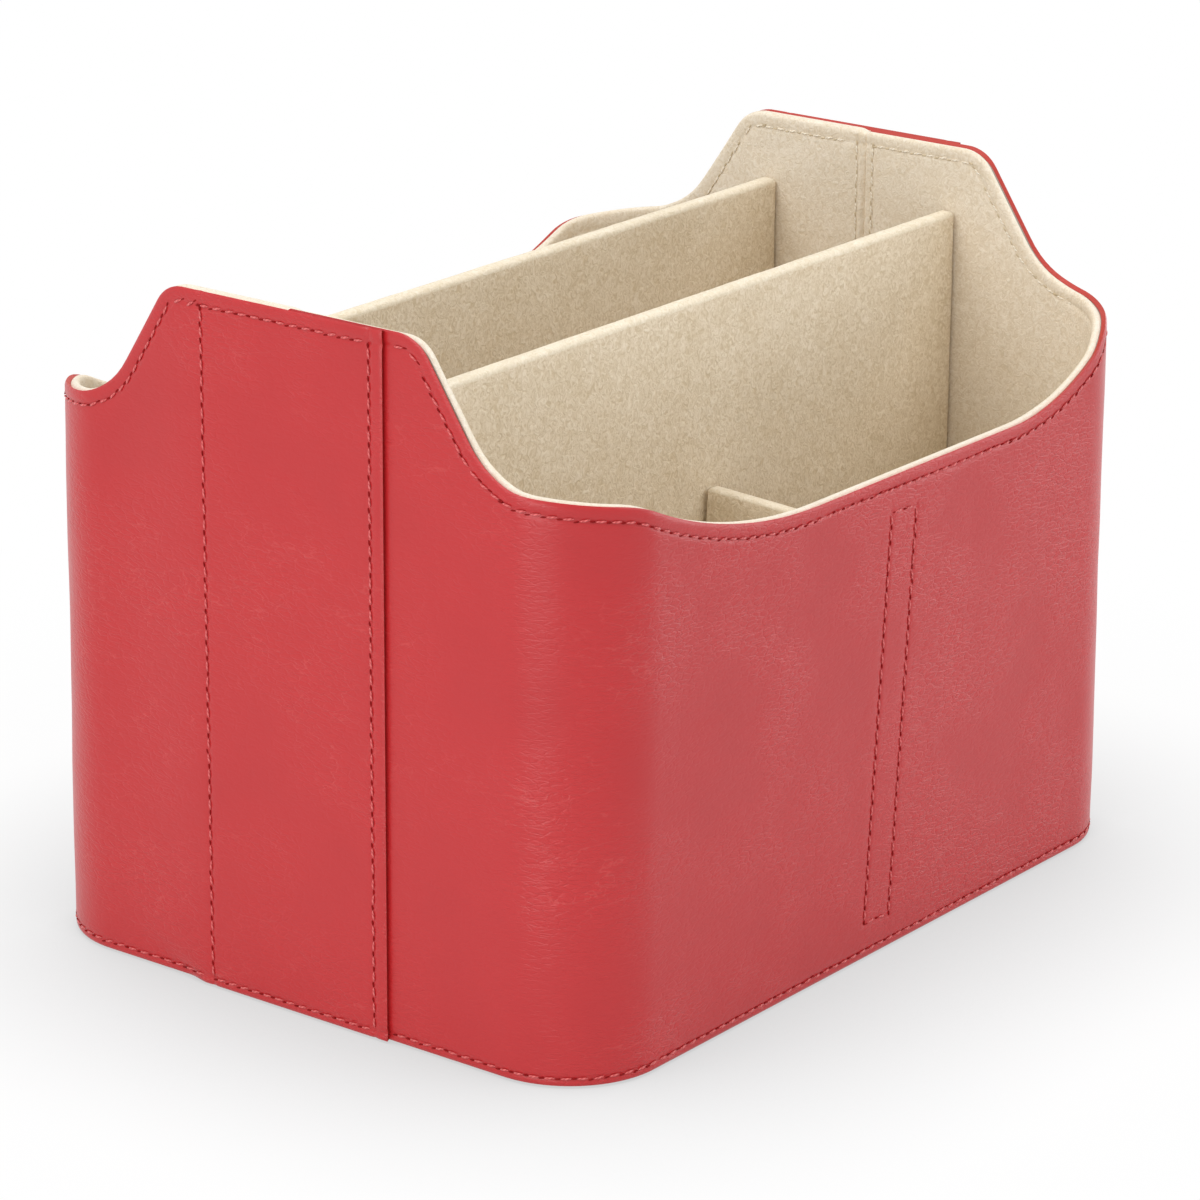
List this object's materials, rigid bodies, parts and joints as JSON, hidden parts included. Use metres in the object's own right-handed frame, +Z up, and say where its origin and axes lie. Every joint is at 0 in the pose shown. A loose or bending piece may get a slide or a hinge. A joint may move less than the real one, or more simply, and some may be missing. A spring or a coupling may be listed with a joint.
{
  "type": "remote control caddy",
  "caption": "Red faux-leather remote control caddy with raised ends and a beige microsuede lining, a lift-out insert of long dividers and a sewn cross divider that swings.",
  "frame": {"origin": "Middle of the underside, on the surface that the caddy stands on.", "axes": "+X along the caddy's length, from the near raised end to the far one; +Y across it, from the half with the sewn cross divider to the other; +Z up."},
  "size_m": [0.2062, 0.1538, 0.1525],
  "materials": {
    "red_leather": "smooth, semi-gloss, fine creases",
    "red_thread": "polyester sewing thread, slight sheen",
    "beige_microsuede": "matte, short brushed nap",
    "beige_felt": "matte, short brushed nap",
    "beige_thread": "polyester sewing thread, slight sheen",
    "grey_board": "plain pressed board, hidden"
  },
  "bodies": {
    "shell": {"leather_left": "red_leather", "leather_right": "red_leather", "rim_thread_left": "red_thread", "rim_thread_right": "red_thread", "hem_thread_left": "red_thread", "hem_thread_right": "red_thread", "flap_thread_near": "red_thread", "flap_thread_far": "red_thread", "cross_divider_thread": "red_thread", "lining_left": "beige_microsuede", "lining_right": "beige_microsuede", "base_lining": "beige_microsuede", "base_cover": "beige_microsuede", "cross_divider_flange": "beige_felt", "lining_thread_left": "beige_thread", "lining_thread_right": "beige_thread", "lining_joint_thread": "beige_thread", "wall_board_left": "grey_board", "wall_board_right": "grey_board", "base_board": "grey_board"},
    "insert": {"insert_cover": "beige_felt", "insert_board_left": "grey_board", "insert_board_right": "grey_board", "insert_board_floor": "grey_board"},
    "cross_divider": {"cross_divider_cover": "beige_felt", "cross_divider_board": "grey_board"}
  },
  "joints": [
    {"name": "insert_lift", "type": "slide", "parent": "shell", "child": "insert", "axis": [0, 0, 1], "range_m": [0, 0.15]},
    {"name": "cross_divider_swing", "type": "hinge", "parent": "shell", "child": "cross_divider", "pos_m": [0.0031, -0.07, 0.05365], "axis": [0.0732, 0, 0.9973], "range_deg": [-75, 75], "stiffness_Nm_per_rad": 0.01}
  ]
}
